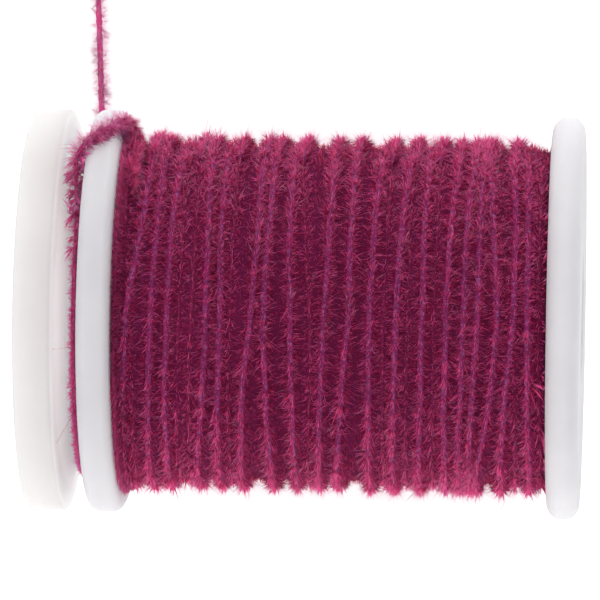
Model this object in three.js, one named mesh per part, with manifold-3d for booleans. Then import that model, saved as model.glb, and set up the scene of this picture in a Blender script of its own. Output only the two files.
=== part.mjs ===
// Chenille yarn wound on its small three-disc snap spool, lying on its side.
// Millimetres, +Z up. The spool's axis runs along X, the loose end of the yarn lies along +Y.
// The origin is on the surface, under the middle of the spool.
import * as THREE from 'three';
import { mergeVertices } from 'three/addons/utils/BufferGeometryUtils.js';
import Module from 'manifold-3d';

const wasm = await Module();
wasm.setup();

// Spool, from its cap's outer face to its far end
const discRadius = 10.5;
const capRim = 1.9;
const grooveWidth = 1.3;
const innerDisc = 1.7;
const windingSpace = 22.1;
const farDisc = 1.7;
const spoolLength = capRim + grooveWidth + innerDisc + windingSpace + farDisc;

const boreRadius = 3.5;
const neckRadius = 4.5;
const barrelRadius = 5.0;
const clearance = 0.3;

const rimRounding = 0.5;
const capRounding = 0.4;
const capOuterEdge = 0.12;
const capConeRadius = 9.2;
const capConeStep = 0.28;
const capBossRadius = 7.9;
const capBossReach = grooveWidth - clearance;
const neckSetBack = 0.45;

// The discs stand on a flat spot this deep, so the spool doesn't roll
const flatDepth = 0.08;
const axisHeight = discRadius - flatDepth;

// Places along the axis are counted from the cap's outer face
const innerDiscStart = capRim + grooveWidth;
const windingStart = innerDiscStart + innerDisc;
const farDiscStart = windingStart + windingSpace;
const toOrigin = -spoolLength / 2;

// Winding
const pileValleyRadius = 8.58;
const topTurnHeight = 0.5;
const underTurnHeight = 0.3;
const turnHalfWidth = 0.56;
const rowSpacing = 0.24;
const windingSegments = 44;
const discSegments = 48;

// Every turn's place along the axis at five angles from the crown: two towards +Y, the crown, two
// towards -Y. A turn of the under layer shows between its neighbours.
const turnAngles = [63, 27, 0, -27, -63];
const turns = [
  { layer: 'under', at: [5.45, 5.4, 5.75, 5.95, 5.8] },
  { layer: 'top', at: [6.6, 6.25, 5.65, 5.45, 5.35] },
  { layer: 'top', at: [7.15, 7.1, 6.9, 6.75, 6.55] },
  { layer: 'top', at: [8.1, 7.85, 7.75, 7.6, 7.5] },
  { layer: 'under', at: [8.35, 8.4, 8.3, 8.25, 8.1] },
  { layer: 'under', at: [8.95, 9.05, 9.0, 8.85, 8.65] },
  { layer: 'top', at: [9.55, 9.7, 9.75, 9.55, 9.0] },
  { layer: 'top', at: [10.4, 10.35, 10.45, 10.3, 10.15] },
  { layer: 'under', at: [10.95, 10.95, 10.9, 10.85, 10.7] },
  { layer: 'top', at: [12.25, 12.25, 12.05, 11.55, 11.25] },
  { layer: 'top', at: [12.9, 12.8, 12.65, 12.75, 12.85] },
  { layer: 'top', at: [13.85, 13.85, 14.0, 14.1, 14.15] },
  { layer: 'under', at: [14.2, 14.65, 15.0, 15.05, 14.75] },
  { layer: 'top', at: [15.9, 15.9, 15.75, 15.55, 15.3] },
  { layer: 'top', at: [17.0, 17.0, 17.0, 16.6, 16.2] },
  { layer: 'top', at: [18.4, 18.15, 18.05, 18.0, 17.9] },
  { layer: 'under', at: [18.85, 18.8, 18.75, 18.7, 18.65] },
  { layer: 'top', at: [19.85, 19.55, 19.4, 19.3, 19.1] },
  { layer: 'under', at: [20.1, 20.0, 19.95, 19.9, 19.8] },
  { layer: 'top', at: [20.85, 20.7, 20.7, 20.65, 20.45] },
  { layer: 'under', at: [21.3, 21.35, 21.3, 21.3, 21.1] },
  { layer: 'top', at: [22.35, 22.05, 21.95, 21.85, 21.8] },
  { layer: 'top', at: [23.15, 22.85, 22.8, 22.7, 22.45] },
  { layer: 'top', at: [23.55, 23.55, 23.5, 23.3, 23.0] },
  { layer: 'top', at: [23.85, 24.25, 24.55, 24.2, 23.35] },
  { layer: 'under', at: [24.2, 24.65, 25.2, 25.4, 25.45] },
  { layer: 'top', at: [25.15, 25.4, 25.35, 24.9, 24.65] },
  { layer: 'top', at: [25.85, 26.0, 26.05, 26.1, 26.15] },
  { layer: 'under', at: [26.5, 26.55, 26.6, 26.65, 26.7] },
];

// Loose end. Each point is its place along the axis, its distance from the axis and its angle from
// the crown, +90 being towards +Y: up off the first turn, back over the inner disc's rim, down into
// the groove and round it as far as the underside.
const strandX = 2.72;
const strandRadius = 8.4;
const strandOnSpool = [
  [5.62, 9.6, 44],
  [5.62, 9.66, 52],
  [5.62, 9.79, 59.5],
  [5.6, 9.98, 64.4],
  [5.55, 10.2, 66.1],
  [5.42, 10.54, 66.7],
  [5.22, 10.88, 66],
  [5.0, 11.08, 64.8],
  [4.7, 11.13, 62.9],
  [4.2, 11.15, 59.8],
  [3.7, 11.15, 56.8],
  [3.3, 11.07, 54.5],
  [2.93, 10.8, 52.2],
  [2.67, 10.2, 50],
  [2.64, 9.4, 47.5],
  [2.68, 8.85, 43],
  [strandX, 8.5, 34],
  [strandX, strandRadius, 20],
  [strandX, strandRadius, 0],
  [strandX, strandRadius, -20],
  [strandX, strandRadius, -40],
  [strandX, strandRadius, -60],
  [strandX, strandRadius, -80],
  [strandX, strandRadius, -100],
  [strandX, strandRadius, -120],
  [strandX, strandRadius, -140],
  [strandX, strandRadius, -158],
  [strandX, strandRadius, -172],
];
// Then it leaves the groove and lies on the surface. Each point is its place along the axis, its
// y and its height.
const strandOnSurface = [
  [2.7, 1.2, 1.76],
  [2.68, 4.0, 1.34],
  [2.66, 6.6, 0.92],
  [2.62, 8.8, 0.62],
  [2.56, 11.0, 0.52],
  [2.42, 13.4, 0.52],
  [2.3, 15.8, 0.52],
  [2.38, 18.4, 0.52],
  [2.7, 21.0, 0.52],
  [3.1, 23.2, 0.52],
];
// Half thickness of its firm pile: loose over the rim, squeezed in the groove, full on the surface.
// It is squeezed between two distances from the axis and fills out again between two places in y.
const pileOverRim = 0.35;
const pileInGroove = 0.2;
const pileOnSurface = 0.5;
const squeezeFrom = 10.9;
const squeezeTo = 9.3;
const fillFrom = 3.5;
const fillTo = 9.5;
const strandSteps = 78;
const strandSides = 8;

const plasticBody = new THREE.MeshStandardMaterial({ color: 0xd8d7dc, roughness: 0.42, metalness: 0 });
const plasticCap = new THREE.MeshStandardMaterial({ color: 0xe9e5e4, roughness: 0.4, metalness: 0 });
const pile = new THREE.MeshStandardMaterial({ color: 0x8c2450, roughness: 0.95, metalness: 0 });

const radians = THREE.MathUtils.degToRad;

// A closed outline of [place along the axis, radius] turned about the spool's axis, which ends up
// along X at its real height.
function turned(outline, segments) {
  const points = [...outline, outline[0]].map(([x, r]) => new THREE.Vector2(r, x));
  const geometry = new THREE.LatheGeometry(points, segments);
  geometry.rotateZ(-Math.PI / 2);
  geometry.translate(toOrigin, 0, axisHeight);
  return geometry;
}

// Rim of a disc from its left face to its right face, with a quarter round of three steps at each.
function roundedRim(left, right, leftRound, rightRound) {
  const rim = [];
  for (const turn of [0, 30, 60, 90]) {
    const a = radians(turn);
    rim.push([left + leftRound * (1 - Math.cos(a)), discRadius - leftRound * (1 - Math.sin(a))]);
  }
  for (const turn of [90, 60, 30, 0]) {
    const a = radians(turn);
    rim.push([right - rightRound * (1 - Math.cos(a)), discRadius - rightRound * (1 - Math.sin(a))]);
  }
  return rim.filter(([x, r], i) => i === 0 || Math.hypot(x - rim[i - 1][0], r - rim[i - 1][1]) > 1e-6);
}

function toSolid(geometry) {
  const bare = geometry.clone();
  bare.deleteAttribute('normal');
  bare.deleteAttribute('uv');
  const merged = mergeVertices(bare, 1e-4);
  return new wasm.Manifold(new wasm.Mesh({
    numProp: 3,
    vertProperties: new Float32Array(merged.attributes.position.array),
    triVerts: new Uint32Array(merged.index.array),
  }));
}

function toGeometry(solid) {
  const mesh = solid.getMesh();
  const geometry = new THREE.BufferGeometry();
  geometry.setAttribute('position', new THREE.BufferAttribute(mesh.vertProperties, 3));
  geometry.setIndex(new THREE.BufferAttribute(mesh.triVerts, 1));
  return geometry;
}

// The discs' flat spots are what lies under the surface, taken away.
function standOnFlat(geometry) {
  const depth = 2;
  const below = new THREE.BoxGeometry(2 * spoolLength, 4 * discRadius, depth);
  below.translate(0, 0, -depth / 2);
  return toGeometry(toSolid(geometry).subtract(toSolid(below)));
}

function named(name, geometry, material) {
  const mesh = new THREE.Mesh(geometry, material);
  mesh.name = name;
  return mesh;
}

// One moulding: neck that the cap snaps on, inner disc, barrel and far disc, all on one bore.
function spoolBody() {
  const bullnose = farDisc / 2;
  const outline = [
    [neckSetBack, boreRadius],
    [neckSetBack, neckRadius],
    [innerDiscStart, neckRadius],
    ...roundedRim(innerDiscStart, windingStart, rimRounding, rimRounding),
    [windingStart, barrelRadius],
    [farDiscStart, barrelRadius],
    ...roundedRim(farDiscStart, spoolLength, bullnose, bullnose),
    [spoolLength, boreRadius],
  ];
  return named('spool_body', standOnFlat(turned(outline, discSegments)), plasticBody);
}

// The cap snaps over the neck. Its boss ends just short of the inner disc and is the groove's floor.
function spoolCap() {
  const bore = neckRadius + clearance;
  const outline = [
    [0, bore],
    ...roundedRim(0, capRim, capOuterEdge, capRounding),
    [capRim + capConeStep, capConeRadius],
    [capRim + capConeStep, capBossRadius],
    [capRim + capBossReach, capBossRadius],
    [capRim + capBossReach, bore],
  ];
  return named('spool_cap', standOnFlat(turned(outline, discSegments)), plasticCap);
}

// Where a turn lies at an angle from the crown. Seen from above it follows its own row, and under
// the spool it crosses to the start of the next turn towards the cap.
const byStart = [...turns].sort((p, q) => p.at[0] - q.at[0]);
const byEnd = [...turns].sort((p, q) => p.at[4] - q.at[4]);
const first = turnAngles[0];
const last = turnAngles[4];

function turnPlace(turn, angle) {
  if (angle <= first && angle >= last) {
    const i = turnAngles.findIndex((a, k) => angle <= a && angle >= turnAngles[k + 1]);
    const share = (turnAngles[i] - angle) / (turnAngles[i] - turnAngles[i + 1]);
    return THREE.MathUtils.lerp(turn.at[i], turn.at[i + 1], share);
  }
  const next = byStart[byEnd.indexOf(turn) - 1] ?? turn;
  const below = angle < last ? angle : angle - 360;
  const share = (last - below) / (last - (first - 360));
  return THREE.MathUtils.lerp(turn.at[4], next.at[0], share);
}

function pileRadius(x, angle) {
  let height = 0;
  for (const turn of turns) {
    const off = (x - turnPlace(turn, angle)) / turnHalfWidth;
    const full = turn.layer === 'top' ? topTurnHeight : underTurnHeight;
    height = Math.max(height, full * (1 - off * off));
  }
  return pileValleyRadius + height;
}

// The wound yarn is one ring round the barrel. Its outer skin is a grid whose points stand out where
// a turn passes.
function yarnWinding() {
  const start = windingStart + clearance;
  const end = farDiscStart - clearance;
  const rows = Math.round((end - start) / rowSpacing);
  const bore = barrelRadius + clearance;
  const outline = [[start, bore]];
  for (let i = 0; i <= rows; i += 1) {
    outline.push([THREE.MathUtils.lerp(start, end, i / rows), pileValleyRadius]);
  }
  outline.push([end, bore]);
  const geometry = turned(outline, windingSegments);
  const points = geometry.attributes.position;
  for (let i = 0; i < points.count; i += 1) {
    const x = points.getX(i) - toOrigin;
    const y = points.getY(i);
    const z = points.getZ(i) - axisHeight;
    if (Math.hypot(y, z) > bore + 1) {
      const a = Math.atan2(y, z);
      const r = pileRadius(x, THREE.MathUtils.radToDeg(a));
      points.setY(i, r * Math.sin(a));
      points.setZ(i, axisHeight + r * Math.cos(a));
    }
  }
  return named('yarn_winding', geometry, pile);
}

// The free strand is a tube whose rings are drawn in to the pile's thickness where they lie.
function yarnTail() {
  const route = [
    ...strandOnSpool.map(([x, r, angle]) => {
      const a = radians(angle);
      return new THREE.Vector3(toOrigin + x, r * Math.sin(a), axisHeight + r * Math.cos(a));
    }),
    ...strandOnSurface.map(([x, y, z]) => new THREE.Vector3(toOrigin + x, y, z)),
  ];
  const path = new THREE.CatmullRomCurve3(route, false, 'centripetal');
  const section = new THREE.Shape();
  for (let k = 0; k < strandSides; k += 1) {
    const a = (2 * Math.PI * (k + 0.5)) / strandSides;
    section[k === 0 ? 'moveTo' : 'lineTo'](Math.cos(a), Math.sin(a));
  }
  const geometry = new THREE.ExtrudeGeometry(section, {
    steps: strandSteps,
    bevelEnabled: false,
    extrudePath: path,
  });
  const rings = [];
  for (let i = 0; i <= strandSteps; i += 1) {
    rings.push({ centre: path.getPointAt(i / strandSteps), along: path.getTangentAt(i / strandSteps) });
  }
  const points = geometry.attributes.position;
  const point = new THREE.Vector3();
  for (let i = 0; i < points.count; i += 1) {
    point.fromBufferAttribute(points, i);
    const { centre } = rings.reduce((best, ring) => (misfit(ring, point) < misfit(best, point) ? ring : best));
    point.sub(centre).multiplyScalar(strandHalf(centre)).add(centre);
    points.setXYZ(i, point.x, point.y, point.z);
  }
  return named('yarn_tail', geometry, pile);
}

// A point of the unit tube belongs to the ring whose centre is 1 away, square to the route.
function misfit(ring, point) {
  const arm = point.clone().sub(ring.centre);
  return Math.abs(arm.length() - 1) + Math.abs(arm.dot(ring.along));
}

function strandHalf(centre) {
  const { lerp, smoothstep } = THREE.MathUtils;
  if (centre.y > 0 && centre.z < axisHeight) {
    return lerp(pileInGroove, pileOnSurface, smoothstep(centre.y, fillFrom, fillTo));
  }
  if (centre.x > toOrigin + innerDiscStart) {
    return pileOverRim;
  }
  const r = Math.hypot(centre.y, centre.z - axisHeight);
  return lerp(pileInGroove, pileOverRim, smoothstep(r, squeezeTo, squeezeFrom));
}

const chenilleSpool = new THREE.Group();
chenilleSpool.add(spoolBody(), spoolCap(), yarnWinding(), yarnTail());

export default chenilleSpool;
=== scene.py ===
"""Fine magenta chenille yarn on its white snap spool, lying on its side and seen from above.

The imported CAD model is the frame. Everything is in metres, with the spool's axis along X.
"""

import math

import bpy
import numpy as np
from mathutils import Matrix, Vector


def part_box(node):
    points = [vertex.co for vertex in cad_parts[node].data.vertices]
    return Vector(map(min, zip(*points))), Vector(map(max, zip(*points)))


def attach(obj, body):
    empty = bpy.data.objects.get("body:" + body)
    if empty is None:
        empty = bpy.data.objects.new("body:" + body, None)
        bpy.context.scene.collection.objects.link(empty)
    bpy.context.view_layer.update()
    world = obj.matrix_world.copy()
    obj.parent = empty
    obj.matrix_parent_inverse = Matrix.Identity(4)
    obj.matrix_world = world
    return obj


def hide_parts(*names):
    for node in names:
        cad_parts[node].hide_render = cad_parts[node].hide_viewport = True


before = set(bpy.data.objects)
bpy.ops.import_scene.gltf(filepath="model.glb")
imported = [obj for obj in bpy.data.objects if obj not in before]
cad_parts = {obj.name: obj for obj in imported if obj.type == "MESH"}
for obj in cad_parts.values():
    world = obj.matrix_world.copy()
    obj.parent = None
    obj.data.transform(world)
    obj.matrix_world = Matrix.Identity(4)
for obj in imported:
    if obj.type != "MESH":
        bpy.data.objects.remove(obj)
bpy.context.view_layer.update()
bpy.ops.object.select_all(action="DESELECT")
mm = 0.001

# The spool's own frame: its discs' radius, the height of its axis, and its cap's outer face, from
# which every place along the axis is counted.
low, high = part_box("spool_body")
cap_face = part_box("spool_cap")[0].x
disc_radius = (high.y - low.y) / 2
axis_height = high.z - disc_radius


# Camera. The photograph looks down on the spool from about 30 cm, from beyond its far disc, and
# holds the spool one degree off level.
eye_above_axis = 304 * mm
eye_past_middle = 19.2 * mm
aim = Vector((-0.417 * mm, 0.72 * mm, axis_height))
view_width = 31.345 * mm
roll = math.radians(1.0)

eye = Vector((eye_past_middle, 0, axis_height + eye_above_axis))
forward = (aim - eye).normalized()
right = forward.cross(Vector((-math.sin(roll), math.cos(roll), 0))).normalized()
up = right.cross(forward)
bpy.ops.object.camera_add(location=eye)
camera = bpy.context.object
camera.rotation_euler = Matrix((right, up, -forward)).transposed().to_euler()
camera.data.sensor_width = 36.0
camera.data.lens = 36.0 * (aim - eye).length / view_width
camera.data.clip_start = 0.01
bpy.context.scene.camera = camera
bpy.ops.object.select_all(action="DESELECT")


# Free strand. The yarn's end rises off the first turn, bends back over the inner disc's rim, runs
# down the clamping groove and round to the underside, and then lies on the surface behind the spool.
# It is a two-ply core with cut pile held in its twist, and it is a cord, 67 mm long.
strand_x = 2.72
strand_radius = 8.4
# Place along the axis, distance from the axis, and degrees from the crown towards the loose end
strand_on_spool = [
    (5.62, 9.6, 44),
    (5.62, 9.66, 52),
    (5.62, 9.79, 59.5),
    (5.6, 9.98, 64.4),
    (5.55, 10.2, 66.1),
    (5.42, 10.54, 66.7),
    (5.22, 10.88, 66),
    (5.0, 11.08, 64.8),
    (4.7, 11.13, 62.9),
    (4.2, 11.15, 59.8),
    (3.7, 11.15, 56.8),
    (3.3, 11.07, 54.5),
    (2.93, 10.8, 52.2),
    (2.67, 10.2, 50),
    (2.64, 9.4, 47.5),
    (2.68, 8.85, 43),
    (strand_x, 8.5, 34),
    *[(strand_x, strand_radius, a) for a in [*range(20, -141, -20), -158, -172]],
]
# Place along the axis, y and height
strand_on_surface = [
    (2.7, 1.2, 1.76),
    (2.62, 4.0, 1.34),
    (2.54, 6.6, 0.92),
    (2.46, 8.8, 0.62),
    (2.36, 11.0, 0.52),
    (2.26, 13.4, 0.52),
    (2.14, 15.8, 0.52),
    (2.06, 18.4, 0.52),
    (2.3, 21.0, 0.52),
    (2.7, 23.2, 0.52),
]


def on_spool(x, r, degrees):
    """Points from their places along the axis, distances from it and degrees from the crown."""
    a = np.radians(degrees)
    x, r, a = np.broadcast_arrays(np.asarray(x, float), r, a)
    return np.stack([cap_face + x * mm, r * mm * np.sin(a), axis_height + r * mm * np.cos(a)], -1)


def smooth_route(points, step):
    """A centripetal spline through the points, with a point at every step along it."""
    p = np.vstack([2 * points[0] - points[1], points, 2 * points[-1] - points[-2]])
    fine = []
    for p0, p1, p2, p3 in zip(p, p[1:], p[2:], p[3:]):
        d0, d1, d2 = (math.sqrt(np.linalg.norm(b - a)) for a, b in ((p0, p1), (p1, p2), (p2, p3)))
        t1 = ((p1 - p0) / d0 - (p2 - p0) / (d0 + d1) + (p2 - p1) / d1) * d1
        t2 = ((p2 - p1) / d1 - (p3 - p1) / (d1 + d2) + (p3 - p2) / d2) * d1
        t = np.linspace(0, 1, 25)[:-1, None]
        fine.append(
            p1 + t1 * t + (3 * (p2 - p1) - 2 * t1 - t2) * t**2 + (2 * (p1 - p2) + t1 + t2) * t**3
        )
    fine = np.vstack([*fine, points[-1:]])
    along = np.concatenate([[0], np.linalg.norm(np.diff(fine, axis=0), axis=1).cumsum()])
    at = np.linspace(0, along[-1], round(along[-1] / step) + 1)
    return np.stack([np.interp(at, along, c) for c in fine.T], -1)


def unit(v):
    return v / np.linalg.norm(v, axis=-1, keepdims=True)


def square_to(along, v):
    """v's own part that is square to the route, as a unit vector."""
    return unit(v - along * (v * along).sum(-1, keepdims=True))


def piece_of(name, points, faces, places, material):
    """A piece of the yarn from its points, its triangles and each corner's place in its UV map."""
    mesh = bpy.data.meshes.new(name)
    mesh.vertices.add(len(points))
    mesh.vertices.foreach_set("co", points.astype(np.float32).ravel())
    mesh.loops.add(faces.size)
    mesh.loops.foreach_set("vertex_index", faces.astype(np.int32).ravel())
    mesh.polygons.add(len(faces))
    mesh.polygons.foreach_set("loop_start", np.arange(0, faces.size, 3, dtype=np.int32))
    mesh.update(calc_edges=True)
    layer = mesh.uv_layers.new(name="OFBake")
    layer.uv.foreach_set("vector", places.astype(np.float32).ravel())
    mesh.materials.append(material)
    piece = bpy.data.objects.new(name, mesh)
    bpy.context.scene.collection.objects.link(piece)
    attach(piece, "root")
    return piece


def joined(parts):
    """Several (points, triangles, places) as one."""
    counts = np.cumsum([0] + [len(p) for p, _, _ in parts])
    return (
        np.vstack([p for p, _, _ in parts]),
        np.vstack([f + n for (_, f, _), n in zip(parts, counts)]),
        np.vstack([u for _, _, u in parts]),
    )


def squares(a, b, c, d, u0, u1, v0, v1):
    """Two triangles for each square, from its corners in order, and their places in the UV map,
    where a lies at (u0, v0) and c across from it."""
    faces = [np.stack([a, b, c], -1), np.stack([a, c, d], -1)]
    places = [np.stack([u0, v0, u0, v1, u1, v1], -1), np.stack([u0, v0, u1, v1, u1, v0], -1)]
    return np.concatenate(faces), np.concatenate(places)


def tube(run, radius, row, rows):
    """A closed tube along a run. radius has a row for each point and a column for each side. Its UV
    map is a band of its own: along the run from left to right, and round the tube within the band."""
    route, along, out = run
    count, sides = radius.shape
    across = np.cross(along, out)
    turn = 2 * math.pi * np.arange(sides) / sides
    spokes = out[:, None] * np.cos(turn)[:, None] + across[:, None] * np.sin(turn)[:, None]
    points = np.vstack([(route[:, None] + radius[..., None] * spokes).reshape(-1, 3), route[[0, -1]]])
    i, k = (g.ravel() for g in np.meshgrid(np.arange(count - 1), np.arange(sides), indexing="ij"))
    nearer, further = i * sides + k, i * sides + (k + 1) % sides
    u0, u1 = i / (count - 1), (i + 1) / (count - 1)
    v0, v1 = (row + 0.02 + 0.96 * k / sides) / rows, (row + 0.02 + 0.96 * (k + 1) / sides) / rows
    faces, places = squares(nearer, further, further + sides, nearer + sides, u0, u1, v0, v1)
    k, v0, v1 = k[:sides], v0[:sides], v1[:sides]
    last = (count - 1) * sides
    start, end = np.full(sides, count * sides), np.full(sides, count * sides + 1)
    ends = [[start, (k + 1) % sides, k], [end, last + k, last + (k + 1) % sides]]
    zero, one, inner = np.zeros(sides), np.ones(sides), np.full(sides, 0.002)
    end_places = [[inner, v0, zero, v1, zero, v0], [one - inner, v0, one, v0, one, v1]]
    faces = np.concatenate([faces, *(np.stack(f, -1) for f in ends)])
    places = np.concatenate([places, *(np.stack(p, -1) for p in end_places)])
    return points, faces, places.reshape(-1, 2)


def hair_mesh(root, middle, tip, side, other, width, tint, sides):
    """Hairs pointed at both ends, as one mesh. Each has two or three points round its middle, so that
    short fuzz is lighter."""
    corners = ((1, 0), (-0.5, 0.87), (-0.5, -0.87))[:sides]
    ring = [middle + (side * c + other * s) * width[:, None] for c, s in corners]
    points = np.stack([root, tip, *ring], 1)
    if sides == 3:
        one = np.array([[0, 3, 2], [0, 4, 3], [0, 2, 4], [1, 2, 3], [1, 3, 4], [1, 4, 2]])
    else:
        one = np.array([[0, 3, 2], [1, 2, 3], [0, 2, 1], [0, 1, 3]])
    faces = one + points.shape[1] * np.arange(len(root))[:, None, None]
    # A hair's colour runs up its own narrow strip of the map, and tint says which strip
    height = np.array([0.02, 0.98, 0.5, 0.5, 0.5])[one]
    sideways = np.array([0.0, 0.002, 0.004, -0.004, 0.0])[one]
    strip = 0.01 + 0.98 * tint[:, None, None] + sideways
    places = np.stack([strip, np.broadcast_to(height, strip.shape)], -1)
    return points.reshape(-1, 3), faces.reshape(-1, 3), places.reshape(-1, 2)


def hairs(run, at, around, start, reach, lean, sag, curl, width, tint, keep, bent=True):
    """Spikes of cut pile. Each springs from its place in the run at an angle round the core, leans and
    curls along the run, and sags towards the spool. keep moves a point out of what the hair can't pass
    through. Every value is one for each hair, in metres. Only a bent hair has three sides."""
    i = np.clip(at.astype(int), 0, len(run[0]) - 2)
    share = (at - i)[:, None]
    centre, along, out = (v[i] * (1 - share) + v[i + 1] * share for v in run)
    across = np.cross(along, out)
    spring = out * np.cos(around)[:, None] + across * np.sin(around)[:, None]
    way = unit(spring + along * lean[:, None]) * reach[:, None]
    bend = (along * curl[:, None] - out * sag[:, None]) * reach[:, None]
    root = centre + spring * start[:, None]
    middle = keep(root + 0.42 * way + (0.16 if bent else 0.42) * bend)
    tip = keep(root + 0.95 * way + bend)
    side = unit(np.cross(tip - root, along + 0.3 * out))
    other = unit(np.cross(tip - root, side))
    return hair_mesh(root, middle, tip, side, other, width, tint, 3 if bent else 2)


def scattered(count, fullness, at):
    """That many random places from the row of places at, more of them where fullness is high."""
    share = fullness.cumsum() / fullness.sum()
    return np.interp(rng.uniform(share[0], 1, count), share, at)


def clumped(at, length, spread):
    """A random value for each hair that it shares with those within a length of it."""
    clump = (at / length).astype(int)
    return rng.normal(0, spread, clump.max() + 1)[clump]


def tints(count, middle=0.5, spread=0.2):
    """Each hair's random tint, from 0 to 1."""
    return np.clip(rng.normal(middle, spread, count), 0, 1)


def waver(s, waves):
    """A smooth wandering from -1 to 1 along s, from a few waves of given lengths."""
    return sum(np.sin(2 * math.pi * (s / w + shift)) for w, shift in waves) / len(waves)


def srgb(r, g, b):
    """A colour as it looks on screen, each part from 0 to 255."""
    parts = [c / 255 for c in (r, g, b)]
    return [c / 12.92 if c <= 0.04045 else ((c + 0.055) / 1.055) ** 2.4 for c in parts] + [1.0]


def group_of(name, inputs, outputs):
    """An empty shader group with named sockets, and its input and output nodes."""
    group = bpy.data.node_groups.new(name, "ShaderNodeTree")
    for socket, kind in inputs:
        group.interface.new_socket(name=socket, in_out="INPUT", socket_type=f"NodeSocket{kind}")
    for socket, kind in outputs:
        group.interface.new_socket(name=socket, in_out="OUTPUT", socket_type=f"NodeSocket{kind}")
    return group, group.nodes.new("NodeGroupInput"), group.nodes.new("NodeGroupOutput")


def add_node(tree, kind, values=None, links=None, **settings):
    """A node with its settings, its fixed input values and its links from other sockets."""
    node = tree.nodes.new(f"ShaderNode{kind}")
    for setting, value in settings.items():
        setattr(node, setting, value)
    for socket, value in (values or {}).items():
        node.inputs[socket].default_value = value
    for socket, source in (links or {}).items():
        tree.links.new(source, node.inputs[socket])
    return node


def material_of(name, **values):
    """A material with one Principled shader and its fixed values."""
    material = bpy.data.materials.new(name)
    material.use_nodes = True
    shader = material.node_tree.nodes["Principled BSDF"]
    for socket, value in values.items():
        shader.inputs[socket.replace("_", " ")].default_value = value
    return material, material.node_tree, shader


def worked_out(tree, operation, *values):
    """A calculation on values that are plain numbers or other nodes' sockets."""
    numbers = {i: v for i, v in enumerate(values) if isinstance(v, float)}
    links = {i: v for i, v in enumerate(values) if not isinstance(v, float)}
    return add_node(tree, "Math", numbers, links, operation=operation).outputs[0]


def mapped(tree, value, start, end, low=0.0, high=1.0, **settings):
    """The value, with the range from start to end carried over to that from low to high."""
    span = {"From Min": start, "From Max": end, "To Min": low, "To Max": high}
    return add_node(tree, "MapRange", span, {"Value": value}, **settings).outputs[0]


def blended(tree, share, first, second):
    """The first colour, turning into the second as share goes from 0 to 1."""
    links = {0: share, 6: first, 7: second}
    return add_node(tree, "Mix", links=links, data_type="RGBA").outputs[2]


def noise(tree, vector, scale, detail=2.0, roughness=0.5):
    """Smooth noise on the given coordinates."""
    values = {"Scale": scale, "Detail": detail, "Roughness": roughness}
    return add_node(tree, "TexNoise", values, {"Vector": vector}).outputs["Fac"]


def bumped(tree, shader, height, strength, distance):
    """Relief on a material's surface, from a height and the metres that it stands for."""
    bump = add_node(tree, "Bump", {"Strength": strength, "Distance": distance}, {"Height": height})
    tree.links.new(bump.outputs[0], shader.inputs["Normal"])


# Fibre colour: from its root's colour to its tip's, each fibre a little off. In the pile the change from
# root to tip is partly dye and partly painted shade and painted light.
fibre_dye_and_shade, given, result = group_of(
    "fibre_dye_and_shade",
    [("Up", "Float"), ("Tint", "Float"), ("Root", "Color"), ("Tip", "Color"), ("Odd", "Color")],
    [("Color", "Color")],
)
up_the_hair = blended(fibre_dye_and_shade, given.outputs["Up"], given.outputs["Root"], given.outputs["Tip"])
odd_share = mapped(fibre_dye_and_shade, given.outputs["Tint"], 0.62, 1.0, 0.0, 0.6)
odd = blended(fibre_dye_and_shade, odd_share, up_the_hair, given.outputs["Odd"])
dim = mapped(fibre_dye_and_shade, given.outputs["Tint"], 0.0, 0.5, 0.75, 1.0)
shaded = add_node(fibre_dye_and_shade, "VectorMath", links={0: odd, 3: dim}, operation="SCALE")
fibre_dye_and_shade.links.new(shaded.outputs[0], result.inputs["Color"])


def dyed_and_shaded(tree, shader, colours, up, tint=None):
    """The fibre colour group in a material, with its own colours at the root, at the tip and of odd
    fibres, as the shader's base colour, where these also hold painted shade and light. Gives back its
    colour."""
    values = {socket: srgb(*colour) for socket, colour in zip(("Root", "Tip", "Odd"), colours)}
    links = {"Up": up, "Tint": tint} if tint else {"Up": up}
    dye = add_node(tree, "Group", values, links, node_tree=fibre_dye_and_shade).outputs["Color"]
    tree.links.new(dye, shader.inputs["Base Color"])
    return dye


def pile_material(name, *colours):
    """Cut pile that light passes through, coloured up each hair by its own UV map. Its root and tip
    colours hold painted shade and painted light.
    """
    material, tree, shader = material_of(
        name, Roughness=0.95, Specular_IOR_Level=0.03, Sheen_Weight=0.05, Sheen_Roughness=0.5
    )
    shader.inputs["Sheen Tint"].default_value = srgb(255, 110, 165)
    shader.inputs["Subsurface Weight"].default_value = 0.9
    shader.inputs["Subsurface Radius"].default_value = (1.0, 0.25, 0.35)
    shader.inputs["Subsurface Scale"].default_value = 0.015 * mm
    uv = add_node(tree, "UVMap", uv_map="OFBake")
    split = add_node(tree, "SeparateXYZ", links={0: uv.outputs[0]})
    dyed_and_shaded(tree, shader, colours, split.outputs["Y"], split.outputs["X"])
    return material


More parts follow.
